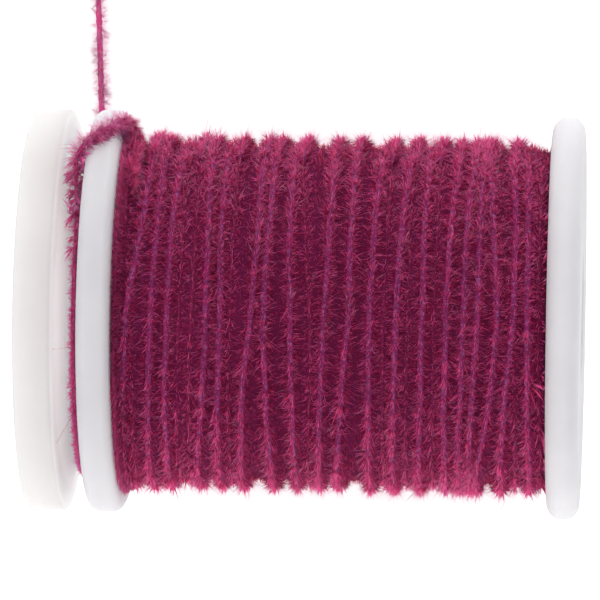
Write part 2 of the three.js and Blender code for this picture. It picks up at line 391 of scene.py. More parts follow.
def core_material(name, length, rows, ground, fleck_colour, worn, sides=None):
    """The two-ply core: violet filament with pale flecks, its pattern laid along its UV map, which
    is length millimetres long and holds rows runs one above the other. With a colour for its sides,
    it is violet only along its crown, and pile hides the rest."""
    round_core = 0.8
    material, tree, shader = material_of(
        name, Roughness=0.8, Specular_IOR_Level=0.12, Sheen_Weight=0.06, Sheen_Roughness=0.5
    )
    shader.inputs["Sheen Tint"].default_value = srgb(255, 190, 220)
    uv = add_node(tree, "UVMap", uv_map="OFBake")
    scale = {"Scale": (length, rows * round_core, 1)}
    laid = add_node(tree, "Mapping", scale, {"Vector": uv.outputs[0]}).outputs[0]
    fleck = noise(tree, laid, 4.6, 3.0, 0.75)
    patch = noise(tree, laid, 0.9)
    ply = add_node(
        tree,
        "TexWave",
        {"Scale": 0.45, "Distortion": 3.0, "Detail": 2.0, "Detail Scale": 2.0},
        {"Vector": laid},
        bands_direction="DIAGONAL",
    )
    up = mapped(tree, fleck, 0.52, 0.7)
    tint = mapped(tree, patch, 0.38, 0.66)
    filament = dyed_and_shaded(tree, shader, (ground, fleck_colour, worn), up, tint)
    if sides:
        split = add_node(tree, "SeparateXYZ", links={0: uv.outputs[0]})
        band = worked_out(tree, "MULTIPLY", split.outputs["Y"], float(rows))
        from_crown = worked_out(tree, "PINGPONG", band, 0.5)
        frayed = worked_out(tree, "MULTIPLY_ADD", fleck, 0.12, -0.06)
        edge = worked_out(tree, "ADD", from_crown, frayed)
        beside = mapped(tree, edge, 0.08, 0.24, interpolation_type="SMOOTHSTEP")
        seen = add_node(tree, "Mix", {7: srgb(*sides)}, {0: beside, 6: filament}, data_type="RGBA")
        tree.links.new(seen.outputs[2], shader.inputs["Base Color"])
    bumped(tree, shader, ply.outputs["Fac"], 0.6, 0.00004)
    return material


# The free strand's pile is painted lighter than the winding's, and lighter still at its tips: painted
# light where it lies over lit white plastic.
strand_tips = pile_material("strand_tips", (255, 70, 142), (255, 128, 190), (252, 120, 182))
rng = np.random.default_rng(5)
strand_step = 0.15 * mm
disc_from, disc_to, disc_rounding = 3.2, 4.9, 0.55
# The cap's inner face, and where it opens into the cone that the strand's pile leans on
cap_inside, cone_radius, cone_slope = 1.98, 9.1, 0.375


def pressed(x, r):
    """The strand's route on the points above, pressed against the inner disc on both sides of it
    and down onto its rim."""
    in_groove = np.clip((disc_from - x) / 0.4, 0, 1) * (0.09 + 0.1 * np.clip((8.9 - r) / 0.5, 0, 1))
    beside = in_groove - 0.14 * np.clip((x - disc_to) / 0.5, 0, 1)
    over_rim = 0.3 * np.clip((r - 10.2) / 0.6, 0, 1)
    onto_winding = 0.5 * (x > disc_to) * np.clip((10.6 - r) / 0.9, 0, 1)
    return x + beside, r - over_rim - onto_winding


def strand_run():
    """The strand's route, with the way along it and a way square to it that doesn't turn about it."""
    x, r, a = np.array(strand_on_spool, float).T
    x, r = pressed(x, r)
    surface = np.array(strand_on_surface, float) * mm
    surface[:, 0] += cap_face
    route = smooth_route(np.vstack([on_spool(x, r, a), surface]), strand_step)
    along = unit(np.gradient(route, axis=0))
    out = np.empty_like(route)
    out[0] = square_to(along[0], route[0] - [route[0][0], 0, axis_height])
    for i in range(1, len(route)):
        out[i] = square_to(along[i], out[i - 1])
    return route, along, out


def clear_of_spool(p):
    """Keeps the strand's hairs out of the inner disc, the cap and the surface."""
    q = p.copy()
    x = q[:, 0] - cap_face
    arm = q[:, 1:] - [0, axis_height]
    r = np.linalg.norm(arm, axis=1)
    skin = 0.03 * mm
    into = np.stack([x - disc_from * mm, disc_to * mm - x, disc_radius - r], -1) + skin
    inner_x, inner_r = (disc_to - disc_rounding) * mm, disc_radius - disc_rounding * mm
    past_rounding = np.hypot(x - inner_x, r - inner_r) > disc_rounding * mm + skin
    inside = (into > 0).all(1) & ~(past_rounding & (x > inner_x) & (r > inner_r))
    nearest = into.argmin(1)
    q[inside & (nearest == 0), 0] = cap_face + disc_from * mm - skin
    q[inside & (nearest == 1), 0] = cap_face + disc_to * mm + skin
    over = inside & (nearest == 2)
    q[over, 1:] = [0, axis_height] + arm[over] * ((disc_radius + skin) / r[over])[:, None]
    cone = cap_face + cap_inside * mm + np.clip(cone_radius * mm - r, 0, None) * cone_slope + skin
    q[:, 0] = np.where((r < disc_radius) & (x < disc_to * mm), np.maximum(q[:, 0], cone), q[:, 0])
    q[:, 2] = np.maximum(q[:, 2], 0.02 * mm)
    return q


def along_strand(count, places, shares):
    """That many places along the strand, in order, as full as shares says at the given places."""
    steps = np.arange(len(strand[0]))
    fullness = np.interp(steps * strand_step / mm, places, shares)
    return np.sort(scattered(count, fullness, steps))


def strand_nap(count, places, shares, comb, shortest, longest):
    """The thick short pile all round the strand's core, combed along it as far as comb says."""
    at = along_strand(count, places, shares)
    pressed_down = np.interp(at * strand_step / mm, [8, 12], [1, 0.75])
    return hairs(
        strand,
        at,
        rng.uniform(-math.pi, math.pi, count),
        rng.uniform(0.02, 0.1, count) * mm,
        rng.uniform(shortest, longest, count) * mm * pressed_down * (1 + clumped(at, 2.4, 0.14)),
        comb + clumped(at, 2.0, 0.32) + rng.normal(0, 0.28, count),
        rng.normal(0.0, 0.1, count),
        clumped(at, 2.9, 0.2) + rng.normal(0, 0.2, count),
        rng.uniform(0.013, 0.02, count) * mm,
        tints(count),
        clear_of_spool,
        bent=False,
    )


def strand_tufts(tufts, hairs_each, places, shares, comb, longest):
    """Longer hairs that stand out from the strand in pointed tufts."""
    centre = along_strand(tufts, places, shares)
    tuft = np.sort(rng.integers(0, tufts, tufts * hairs_each))
    count = len(tuft)
    at = np.clip(centre[tuft] + rng.normal(0, 0.55, count), 0, len(strand[0]) - 1.01)
    around = rng.uniform(-math.pi, math.pi, tufts)[tuft] + rng.normal(0, 0.3, count)
    lean = comb + rng.normal(0, 0.4, tufts)[tuft] - 0.16 * (at - centre[tuft]) + rng.normal(0, 0.1, count)
    reach = rng.uniform(0.68, 1.0, tufts)[tuft] * rng.uniform(0.75, 1.0, count) * longest
    reach = reach * np.interp(at * strand_step / mm, [12, 16, 40, 44], [1, 0.5, 0.5, 1])
    return hairs(
        strand,
        at,
        around,
        rng.uniform(0.04, 0.1, count) * mm,
        reach * mm,
        lean,
        np.zeros(count),
        rng.normal(0, 0.25, tufts)[tuft] + rng.normal(0, 0.08, count),
        rng.uniform(0.01, 0.016, count) * mm,
        tints(count),
        clear_of_spool,
        bent=False,
    )


def strand_piece(name, tips, nap, tufts):
    """Part of the strand's pile, from what its nap and its tufts are made with."""
    return piece_of(name, *joined([strand_nap(*nap), strand_tufts(*tufts)]), tips)


strand = strand_run()
# Fullest where it crosses the rim and lies in the groove's top, and thinner where it is pressed
# under the spool. The pile of its first millimetres is still combed down with the winding's.
full_at, fullness = [0, 2.0, 3.6, 27, 30, 38, 45, 46], [0, 0, 1, 1, 0.4, 0.7, 0.7, 0]
tufted_at, tufted = [0, 2.0, 3.6, 12, 17, 38, 45, 46], [0, 0, 1, 1, 0.3, 0.3, 0.3, 0]
strand_hair = strand_piece(
    "strand_pile",
    strand_tips,
    (11000, full_at, fullness, 0, 0.2, 0.46),
    (640, 6, tufted_at, tufted, 0, 1.12),
)
start_at, start_fullness = [0, 1.8, 3.6, 5.2], [0.2, 1, 1, 0]
strand_start = strand_piece(
    "strand_start_pile",
    pile_material("strand_start_tips", (206, 36, 94), (255, 88, 152), (226, 74, 132)),
    (3600, start_at, start_fullness, -0.6, 0.3, 0.72),
    (200, 8, start_at, start_fullness, -0.5, 1.0),
)
# The loose end's pile is shorter and fluffed out, and painted paler: painted light where the spool shades
# the surface behind it
end_at, end_fullness = [41, 45, 70], [0, 1, 1]
strand_end = strand_piece(
    "strand_end_pile",
    pile_material("strand_end_tips", (242, 100, 162), (255, 206, 232), (248, 170, 212)),
    (4600, end_at, end_fullness, 0, 0.1, 0.28),
    (700, 5, end_at, end_fullness, 0, 0.86),
)
# The core in two lengths, the one of the loose end painted paler as painted light, beginning inside the
# other
core_length, end_core_length, overlap = 44, 20, 3
split_at = round(core_length * mm / strand_step)
core_colours = ((196, 50, 122), (198, 116, 178), (206, 44, 118))
thick = 0.12 * mm * (1 + 0.09 * rng.normal(size=(split_at, 6)))
strand_core = piece_of(
    "strand_core",
    *tube([v[:split_at] for v in strand], thick, 0, 1),
    core_material("strand_core", core_length, 1, *core_colours),
)
split_at -= overlap
core_colours = ((232, 84, 152), (236, 140, 196), (238, 76, 146))
thick = np.interp(np.arange(len(strand[0]) - split_at), [0, 15], [0.11, 0.16]) * mm
thick = thick[:, None] * (1 + 0.12 * rng.normal(size=(len(thick), 6)))
strand_end_core = piece_of(
    "strand_end_core",
    *tube([v[split_at:] for v in strand], thick, 0, 1),
    core_material("strand_end_core", end_core_length, 1, *core_colours),
)
for part in (strand_start, strand_end, strand_hair):
    part.select_set(True)
bpy.context.view_layer.objects.active = strand_hair
bpy.ops.object.join()
bpy.ops.object.select_all(action="DESELECT")
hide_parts("yarn_tail")


# Snap cap. A moulded disc with a sharp outer edge and a softer inner one. Its inner face runs into a
# cone deep in the groove, and its boss is the groove's floor. It snaps over the body's neck.
rim_steps = 150


def turned(name, outline, roundings):
    """A closed outline of (place along the axis, radius) in mm, drawn corner by corner, its corners
    rounded, spun round the spool's axis and stood on the flat spot that its disc rests on."""
    corners = [Vector((cap_face + x * mm, 0, axis_height + r * mm)) for x, r in outline]
    bpy.ops.mesh.primitive_plane_add(size=mm, location=(0, 0, 0))
    piece = bpy.context.object
    piece.name = name
    piece.data.name = name
    bpy.ops.object.mode_set(mode="EDIT")
    bpy.ops.mesh.merge(type="CENTER")
    bpy.ops.transform.translate(value=corners[0])
    for here, there in zip(corners, corners[1:]):
        bpy.ops.mesh.extrude_region_move(TRANSFORM_OT_translate={"value": there - here})
    bpy.ops.mesh.select_all(action="SELECT")
    bpy.ops.object.mode_set(mode="OBJECT")
    select_only(piece, [corners[0], corners[-1]])
    bpy.ops.mesh.edge_face_add()
    for corner, rounding in zip(corners, roundings):
        if rounding:
            bpy.ops.object.mode_set(mode="OBJECT")
            select_only(piece, [corner])
            bpy.ops.mesh.bevel(offset=rounding * mm, segments=7, affect="VERTICES")
    bpy.ops.mesh.select_all(action="SELECT")
    bpy.ops.mesh.spin(steps=rim_steps, angle=2 * math.pi, center=(0, 0, axis_height), axis=(1, 0, 0))
    bpy.ops.mesh.select_all(action="SELECT")
    bpy.ops.mesh.remove_doubles(threshold=0.001 * mm)
    bpy.ops.mesh.select_all(action="SELECT")
    bpy.ops.mesh.bisect(
        plane_co=(0, 0, 0), plane_no=(0, 0, 1), use_fill=True, clear_inner=True, threshold=1e-4 * mm
    )
    bpy.ops.mesh.select_all(action="SELECT")
    bpy.ops.mesh.normals_make_consistent(inside=False)
    bpy.ops.object.mode_set(mode="OBJECT")
    bpy.ops.object.shade_smooth_by_angle(angle=math.radians(32))
    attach(piece, "root")
    return piece


def select_only(piece, places):
    """Selects the points of the piece that lie at the given places, and goes into edit mode."""
    for part in (piece.data.polygons, piece.data.edges):
        for item in part:
            item.select = False
    for vertex in piece.data.vertices:
        vertex.select = any((vertex.co + piece.location - place).length < 0.002 * mm for place in places)
    bpy.ops.object.mode_set(mode="EDIT")
    bpy.ops.mesh.select_mode(type="VERT")


# Moulded plastic: faint clouds in its colour, fine handling marks round it and a soft unevenness
moulded, given, result = group_of(
    "moulded",
    [("Vector", "Vector"), ("Base", "Color"), ("Cloud", "Color"), ("Roughness", "Float")],
    [("Color", "Color"), ("Roughness", "Float"), ("Height", "Float")],
)
clouds = noise(moulded, given.outputs["Vector"], 260.0, 3.0)
clouds = mapped(moulded, clouds, 0.35, 0.75)
toned = blended(moulded, clouds, given.outputs["Base"], given.outputs["Cloud"])
scale = {"Scale": (6000.0, 500.0, 500.0)}
stretched = add_node(moulded, "Mapping", scale, {"Vector": given.outputs["Vector"]}).outputs[0]
marks = noise(moulded, stretched, 1.0, 4.0)
mark_share = mapped(moulded, marks, 0.3, 0.8, -0.05, 0.12)
rough = worked_out(moulded, "ADD", given.outputs["Roughness"], mark_share)
moulded.links.new(toned, result.inputs["Color"])
moulded.links.new(rough, result.inputs["Roughness"])
moulded.links.new(marks, result.inputs["Height"])


def plastic_material(name, base, cloud, roughness, see_into):
    """Moulded white plastic that light travels see_into millimetres within. Its shader and colour
    socket are given back too, for what is laid over it."""
    material, tree, shader = material_of(name, Specular_IOR_Level=0.3, IOR=1.5)
    shader.inputs["Subsurface Weight"].default_value = 0.9
    shader.inputs["Subsurface Radius"].default_value = (1.0, 0.94, 0.92)
    shader.inputs["Subsurface Scale"].default_value = see_into * mm
    place = add_node(tree, "TexCoord").outputs["Object"]
    values = {"Base": srgb(*base), "Cloud": srgb(*cloud), "Roughness": roughness}
    mould = add_node(tree, "Group", values, {"Vector": place}, node_tree=moulded)
    tree.links.new(mould.outputs["Color"], shader.inputs["Base Color"])
    tree.links.new(mould.outputs["Roughness"], shader.inputs["Roughness"])
    bumped(tree, shader, mould.outputs["Height"], 0.25, 0.00002)
    return material, mould.outputs["Color"], shader


disc_rim, boss_radius, boss_end, cap_bore = 10.5, 7.9, 2.9, 4.8
cone_end = cap_inside + (cone_radius - boss_radius) * cone_slope
cap_outline = [(0, cap_bore), (0, disc_rim), (cap_inside, disc_rim), (cap_inside, cone_radius)]
cap_outline += [(cone_end, boss_radius), (boss_end, boss_radius), (boss_end, cap_bore)]
cap_roundings = [0.12, 0.12, 0.33, 0.4, 0.04, 0.05, 0.08]
cap = turned("cap", cap_outline, cap_roundings)
cap_plastic, cap_colour, cap_shader = plastic_material(
    "cap_plastic", (214, 209, 208), (209, 203, 202), 0.45, 11
)
# The cone is thin at its rim. Its colour is painted lighter than the rest, and it glows, more towards the
# crown: painted light in place of the light that would come through it into the groove
tree = cap_plastic.node_tree
place = add_node(tree, "TexCoord").outputs["Object"]
along_axis = add_node(tree, "SeparateXYZ", links={0: place})
cone_from = cap_face + cap_inside * mm
onto_cone = mapped(tree, along_axis.outputs["X"], cone_from - 0.12 * mm, cone_from + 0.1 * mm)
painted_light_on_cone = add_node(
    tree, "Mix", {7: srgb(255, 251, 252)}, {0: onto_cone, 6: cap_colour}, data_type="RGBA"
)
tree.links.new(painted_light_on_cone.outputs[2], cap_shader.inputs["Base Color"])
# A painted glow, no lamp, rising towards the crown
glow_from, glow_to = axis_height + 4.5 * mm, axis_height + 9.5 * mm
towards_crown = mapped(tree, along_axis.outputs["Z"], glow_from, glow_to, 0.0, 0.19)
painted_glow = worked_out(tree, "MULTIPLY", onto_cone, towards_crown)
cap_shader.inputs["Emission Color"].default_value = (1.0, 0.96, 0.96, 1.0)
tree.links.new(painted_glow, cap_shader.inputs["Emission Strength"])
cap.data.materials.append(cap_plastic)
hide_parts("spool_cap")


# Spool body. One moulding of neck, inner disc, barrel and far disc round one bore. The inner disc's
# rim is flat between soft corners, and the far disc's is a full round.
neck_from, far_disc_from, far_disc_to = 0.45, 27.0, 28.7
bore_radius, neck_radius, barrel_radius = 3.5, 4.5, 5.0
body_outline = [
    (neck_from, bore_radius),
    (neck_from, neck_radius),
    (disc_from, neck_radius),
    (disc_from, disc_rim),
    (disc_to, disc_rim),
    (disc_to, barrel_radius),
    (far_disc_from, barrel_radius),
    (far_disc_from, disc_rim),
    (far_disc_to, disc_rim),
    (far_disc_to, bore_radius),
]
body_roundings = [0.15, 0.2, 0.12, 0.5, disc_rounding, 0.2, 0.2, 0.84, 0.84, 0.25]
body = turned("body", body_outline, body_roundings)
body.data.materials.append(
    plastic_material("body_plastic", (209, 208, 212), (204, 202, 207), 0.48, 3)[0]
)
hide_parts("spool_body")


# Winding. About 5 m of the same yarn in level turns. The turns that show are listed from the cap to
# the far disc, in mm from the cap's face at five angles from the crown, those of the under layer
# between and beneath their neighbours. Pile fills the space between the cores.
turn_angles = [63, 27, 0, -27, -63]
top, under = "top", "under"
turns = [
    (under, [5.45, 5.4, 5.75, 5.95, 5.8]),
    (top, [6.6, 6.25, 5.65, 5.45, 5.35]),
    (top, [7.15, 7.1, 6.9, 6.75, 6.55]),
    (top, [8.1, 7.85, 7.75, 7.6, 7.5]),
    (under, [8.35, 8.4, 8.3, 8.25, 8.1]),
    (under, [8.95, 9.05, 9.0, 8.85, 8.65]),
    (top, [9.55, 9.7, 9.75, 9.55, 9.0]),
    (top, [10.4, 10.35, 10.45, 10.3, 10.15]),
    (under, [10.95, 10.95, 10.9, 10.85, 10.7]),
    (top, [12.25, 12.25, 12.05, 11.55, 11.25]),
    (top, [12.9, 12.8, 12.65, 12.75, 12.85]),
    (top, [13.85, 13.85, 14.0, 14.1, 14.15]),
    (under, [14.2, 14.65, 15.0, 15.05, 14.75]),
    (top, [15.9, 15.9, 15.75, 15.55, 15.3]),
    (top, [17.0, 17.0, 17.0, 16.6, 16.2]),
    (top, [18.4, 18.15, 18.05, 18.0, 17.9]),
    (under, [18.85, 18.8, 18.75, 18.7, 18.65]),
    (top, [19.85, 19.55, 19.4, 19.3, 19.1]),
    (under, [20.1, 20.0, 19.95, 19.9, 19.8]),
    (top, [20.85, 20.7, 20.7, 20.65, 20.45]),
    (under, [21.3, 21.35, 21.3, 21.3, 21.1]),
    (top, [22.35, 22.05, 21.95, 21.85, 21.8]),
    (top, [23.15, 22.85, 22.8, 22.7, 22.45]),
    (top, [23.55, 23.55, 23.5, 23.3, 23.0]),
    (top, [23.85, 24.25, 24.55, 24.2, 23.35]),
    (under, [24.2, 24.65, 25.2, 25.4, 25.45]),
    (top, [25.15, 25.4, 25.35, 24.9, 24.65]),
    (top, [25.85, 26.0, 26.05, 26.1, 26.15]),
    (under, [26.5, 26.55, 26.6, 26.65, 26.7]),
]
winding_start, winding_end = 4.96, 26.94
winding_bore = 5.06
valley_radius = 8.64
ridge = {top: 0.22, under: 0.1}
ridge_half_width = 0.56
# How much higher the pile is packed against the inner disc
heap = 0.4
core_place = {top: 8.9, under: 8.66}
core_radius = {top: 0.18, under: 0.14}
# How far the first turn climbs out of the under layer before it becomes the free strand
first_turn_rise = 0.38
# The yarn's length in a degree round the spool and in a whole turn, in mm
degree_length, turn_length = 0.157, 56.5
by_start = sorted(range(len(turns)), key=lambda k: turns[k][1][0])
by_end = sorted(range(len(turns)), key=lambda k: turns[k][1][4])
degrees = np.arange(turn_angles[0], turn_angles[0] - 361, -1.0)
# The pile is fuller where it shows than where it faces the surface
fuller_above = np.where(np.cos(np.radians(degrees)) > -0.3, 1.0, 0.4)
wander = [(31.0, 0.2), (17.3, 0.7), (9.1, 0.45), (5.3, 0.1)]


def neighbour(k, ranked, other, step):
    """The turn that turn k runs on into, or comes from, under the spool."""
    rank = ranked.index(k) + step
    return other[rank] if 0 <= rank < len(turns) else k


def yarn_length(k, steps):
    """How far along the yarn it is to a place that many degrees round turn k, in mm."""
    return k * turn_length + steps * degree_length


def turn_places(k):
    """Where turn k lies along the axis at each degree once round, its corners eased."""
    before = neighbour(k, by_start, by_end, 1)
    after = neighbour(k, by_end, by_start, -1)
    knots = [turn_angles[-1] + 360, *turn_angles, turn_angles[0] - 360, turn_angles[1] - 360]
    values = [turns[before][1][4], *turns[k][1], turns[after][1][0], turns[after][1][1]]
    margin = 24
    wide = np.arange(degrees[0] + margin, degrees[-1] - 1 - margin, -1.0)
    x = np.interp(-wide, -np.array(knots, float), values)
    window = np.hanning(margin + 3)[1:-1]
    x = np.convolve(x, window / window.sum(), mode="same")[margin:-margin]
    return x + 0.035 * waver(yarn_length(k, degrees[0] - degrees), wander)


rows = np.array([turn_places(k) for k in range(len(turns))])
layers = [layer for layer, _ in turns]
swell = [(23.0, 0.3), (11.0, 0.8), (6.1, 0.5)]


def turn_run(k):
    """A turn's own run, with the way out from the spool at each point."""
    r = core_place[layers[k]] + 0.06 * waver(yarn_length(k, degrees[0] - degrees), swell)
    if k == 0:
        r = r + first_turn_rise * np.clip((degrees - 5) / 39, 0, 1)
    route = on_spool(rows[k], r, degrees)
    along = unit(np.gradient(route, axis=0))
    out = route - np.array([0, 0, axis_height])
    out[:, 0] = 0
    return route, along, square_to(along, out)


runs = [turn_run(k) for k in range(len(turns))]


def within_winding(p):
    """Keeps the winding's hairs between the two discs."""
    q = p.copy()
    skin = 0.03
    q[:, 0] = np.clip(q[:, 0], cap_face + (disc_to + skin) * mm, cap_face + (far_disc_from - skin) * mm)
    return q


def over_corner(p):
    """Keeps the hairs that lean over the inner disc's corner out of it."""
    q = p.copy()
    x = (q[:, 0] - cap_face) / mm
    r = np.linalg.norm(q[:, 1:] - [0, axis_height], axis=1) / mm
    above = np.clip(r - disc_rim + disc_rounding, 0, disc_rounding)
    face = disc_to - disc_rounding + np.sqrt(disc_rounding**2 - above**2) + 0.02
    q[:, 0] = cap_face + np.maximum(x, face) * mm
    return q


def spikes(root, way, reach, width, tint, keep):
    """Straight hairs that spring from their roots the given way."""
    side = unit(np.cross(way, [0.3, 0.2, 1.0]))
    middle = root + 0.42 * way * reach[:, None]
    tip = keep(root + way * reach[:, None])
    return hair_mesh(root, middle, tip, side, np.cross(way, side), width, tint, 2)


def ways_at(root):
    """The ways out from the spool's axis, along it and round it, at each root."""
    out = unit(root - np.stack([root[:, 0], np.zeros(len(root)), np.full(len(root), axis_height)], -1))
    beside = np.tile([1.0, 0, 0], (len(root), 1))
    return out, beside, np.cross(beside, out)


def heaped(x):
    """How much higher the pile stands close to the inner disc, in mm."""
    return heap * np.clip((5.5 - x) / 0.5, 0, 1)


def winding_body():
    """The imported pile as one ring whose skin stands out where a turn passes, as triangles."""
    columns = np.linspace(winding_start, winding_end, 118)
    angles = degrees[:-1:4]
    at_angle = rows[:, :-1:4]
    off = (columns[None, :, None] - at_angle[:, None, :]) / ridge_half_width
    full = np.array([ridge[layer] for layer in layers])[:, None, None]
    height = (full * (1 - off**2)).max(0).clip(0)
    radius = valley_radius + height + heaped(columns[:, None]) + rng.normal(0, 0.02, height.shape)
    inner = np.full((1, len(angles)), winding_bore)
    radius = np.vstack([inner, radius, inner])
    columns = np.concatenate([[winding_start], columns, [winding_end]])
    points = on_spool(columns[:, None], radius, angles[None, :]).reshape(-1, 3)
    count, round_it = len(columns), len(angles)
    i, j = (g.ravel() for g in np.meshgrid(np.arange(count), np.arange(round_it), indexing="ij"))
    i2, j2 = (i + 1) % count, (j + 1) % round_it
    corners = (i * round_it + j, i2 * round_it + j, i2 * round_it + j2, i * round_it + j2)
    uses = (j / round_it, (j + 1) / round_it, i / count, (i + 1) / count)
    faces, places = squares(*corners, *uses)
    return points, faces, places.reshape(-1, 2)


def packed_pile_material():
    """The deep pile under the hairs: painted dark as the shade deep in the pile, with a fibrous grain
    that runs from turn to turn.
    """
    material, tree, shader = material_of("packed_pile", Roughness=0.95, Specular_IOR_Level=0.05)
    place = add_node(tree, "TexCoord").outputs["Object"]
    scale = {"Scale": (3500.0, 14000.0, 14000.0)}
    laid = add_node(tree, "Mapping", scale, {"Vector": place}).outputs[0]
    grain = noise(tree, laid, 1.0, 3.0)
    patch = noise(tree, place, 900.0)
    dyed_and_shaded(tree, shader, ((80, 16, 48), (108, 25, 68), (98, 28, 68)), grain, patch)
    bumped(tree, shader, grain, 0.8, 0.00004)
    return material


packed = piece_of("winding_body", *winding_body(), packed_pile_material())
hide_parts("yarn_winding")


def cores_of(layer):
    """The two-ply cores of a layer's turns, one band of the UV map for each."""
    picked = [k for k in range(len(turns)) if layers[k] == layer]
    tubes = []
    for band, k in enumerate(picked):
        thinned = [v[::3] for v in runs[k]]
        radius = core_radius[layer] * mm * (1 + 0.08 * rng.normal(size=(len(thinned[0]), 6)))
        tubes.append(tube(thinned, radius, band, len(picked)))
    return joined(tubes), len(picked)


core_colours = {
    top: ((128, 36, 94), (166, 112, 172), (148, 32, 88), (140, 24, 74)),
    under: ((112, 20, 64), (132, 34, 88), (124, 24, 70), (106, 16, 54)),
}
for layer, colours in core_colours.items():
    cores, count = cores_of(layer)
    name = f"winding_core_{layer}"
    piece_of(name, *cores, core_material(name, turn_length, count, *colours))


def room_beside(k, at, side):
    """How far it is, for each place along turn k, to the next turn on that side, in mm."""
    steps = np.arange(len(degrees))
    here = np.interp(at, steps, rows[k])
    others = np.array([np.interp(at, steps, row) for j, row in enumerate(rows) if j != k])
    gaps = (others - here) * side
    return np.where(gaps > 0.12, gaps, 9.0).min(0)


def round_turn(count):
    """Places along a turn for its hairs, in order, with fewer where it faces the surface."""
    return np.sort(scattered(count, fuller_above, np.arange(len(degrees))))


def combed_pile(k, count):
    """The long pile of a turn, combed down on both sides of its core in curved tufts."""
    at = round_turn(count)
    side = rng.choice([-1.0, 1.0], count)
    tilt = rng.uniform(42, 108, count) + clumped(at, 2.2, 8)
    around = side * np.radians(tilt)
    reach = rng.uniform(0.4, 0.78, count) * (1 + clumped(at, 1.5, 0.12))
    flat = np.abs(np.sin(around)) * reach
    room = 0.9 * room_beside(k, at, side)
    reach = np.where(flat > room, reach * np.maximum(room / flat, 0.5), reach)
    arc = yarn_length(k, at)
    return hairs(
        runs[k],
        at,
        around,
        np.full(count, 0.08 * mm),
        reach * mm,
        0.35 * waver(arc, wander) + side * clumped(at, 1.6, 0.3) + rng.normal(0, 0.1, count),
        rng.uniform(0.1, 0.42, count),
        0.4 * waver(arc + 19, swell) + clumped(at, 2.0, 0.25) + rng.normal(0, 0.12, count),
        rng.uniform(0.009, 0.014, count) * mm,
        tints(count, 0.42),
        within_winding,
    )


def nap(count):
    """The pile that stands between the cores over the whole winding, held up by its neighbours."""
    x = rng.uniform(winding_start, winding_end, count)
    angle = scattered(count, fuller_above, degrees)
    root = on_spool(x, valley_radius - 0.1 + heaped(x), angle)
    out, beside, along = ways_at(root)
    sway = 0.35 * waver(x * 1.7 + angle * degree_length, swell) + rng.normal(0, 0.3, count)
    sway = sway - 0.5 * heaped(x)
    drift = 0.45 * waver(angle * degree_length + x * 3.1, wander) + rng.normal(0, 0.3, count)
    way = unit(out + beside * sway[:, None] + along * drift[:, None])
    reach = rng.uniform(0.26, 0.56, count)
    width = rng.uniform(0.011, 0.018, count)
    tint = tints(count, 0.35, 0.18)
    return spikes(root, way, reach * mm, width * mm, tint, within_winding)


def flared_pile(count):
    """The first turn's pile where the inner disc holds it up, its tips just over the disc's corner."""
    x = rng.uniform(4.98, 5.6, count)
    fullness = np.interp(-degrees, [-63, 66, 110, 300], [1.0, 1.0, 0.4, 0.4])
    angle = scattered(count, fullness, degrees)
    root = on_spool(x, rng.uniform(8.8, 9.2, count), angle)
    out, beside, along = ways_at(root)
    reach = np.interp(np.abs(angle), [60, 84], [1.0, 0.55]) * rng.uniform(0.55, 1.2, count)
    reach = reach * np.interp(x, [5.1, 5.6], [1.0, 0.45])
    to_corner = np.clip((rng.uniform(4.82, 5.15, count) - x) / reach, -0.5, 0.2)
    drift = 0.3 * waver(angle * degree_length, wander) + rng.normal(0, 0.22, count)
    way = unit(out + beside * to_corner[:, None] + along * drift[:, None])
    width = rng.uniform(0.011, 0.018, count)
    tint = tints(count, 0.4, 0.18)
    return spikes(root, way, reach * mm, width * mm, tint, over_corner)


def raised_pile(k, count):
    """The pile that stands out all round a turn's core, longer where it leans to its sides."""
    at = round_turn(count)
    beside = rng.choice([-52.0, 0.0, 52.0], count, p=[0.28, 0.44, 0.28])
    around = np.radians(np.clip(beside + rng.normal(0, 20, count), -88, 88))
    longer = rng.uniform(size=count) < 0.22
    reach = np.where(longer, rng.uniform(0.5, 0.8, count), rng.uniform(0.22, 0.5, count))
    reach = reach * (1 + 0.25 * np.abs(np.sin(around)))
    return hairs(
        runs[k],
        at,
        around,
        rng.uniform(0.08, 0.14, count) * mm,
        reach * mm * (1 + clumped(at, 2.0, 0.16)),
        clumped(at, 1.6, 0.3) + rng.normal(0, 0.25, count),
        rng.normal(0, 0.1, count),
        clumped(at, 2.6, 0.15) + rng.normal(0, 0.2, count),
        rng.uniform(0.75, 1.25, count) * np.where(beside == 0, 0.018, 0.0095) * mm,
        tints(count, 0.45),
        within_winding,
        bent=False,
    )


def wrapped_fuzz(k, count):
    """Fibres of the pile that lie along the core and partly hide it."""
    at = round_turn(count)
    side = rng.choice([-1.0, 1.0], count)
    return hairs(
        runs[k],
        at,
        side * np.radians(np.abs(rng.normal(50, 24, count))),
        np.full(count, 0.15 * mm),
        rng.uniform(0.12, 0.3, count) * mm,
        rng.normal(0, 1.6, count),
        rng.normal(0.1, 0.1, count),
        rng.normal(0, 0.2, count),
        rng.uniform(0.012, 0.02, count) * mm,
        tints(count),
        within_winding,
        bent=False,
    )


# Raised pile, lighter at its tips: painted light at the winding's silhouettes
pile_tips = pile_material("chenille_tips", (255, 56, 124), (255, 98, 164), (248, 98, 160))
# Combed pile, light at its root by the core and dark at its tip: painted shade in the troughs between the
# turns
pile_sides = pile_material("chenille_sides", (190, 38, 94), (98, 18, 50), (146, 38, 88))
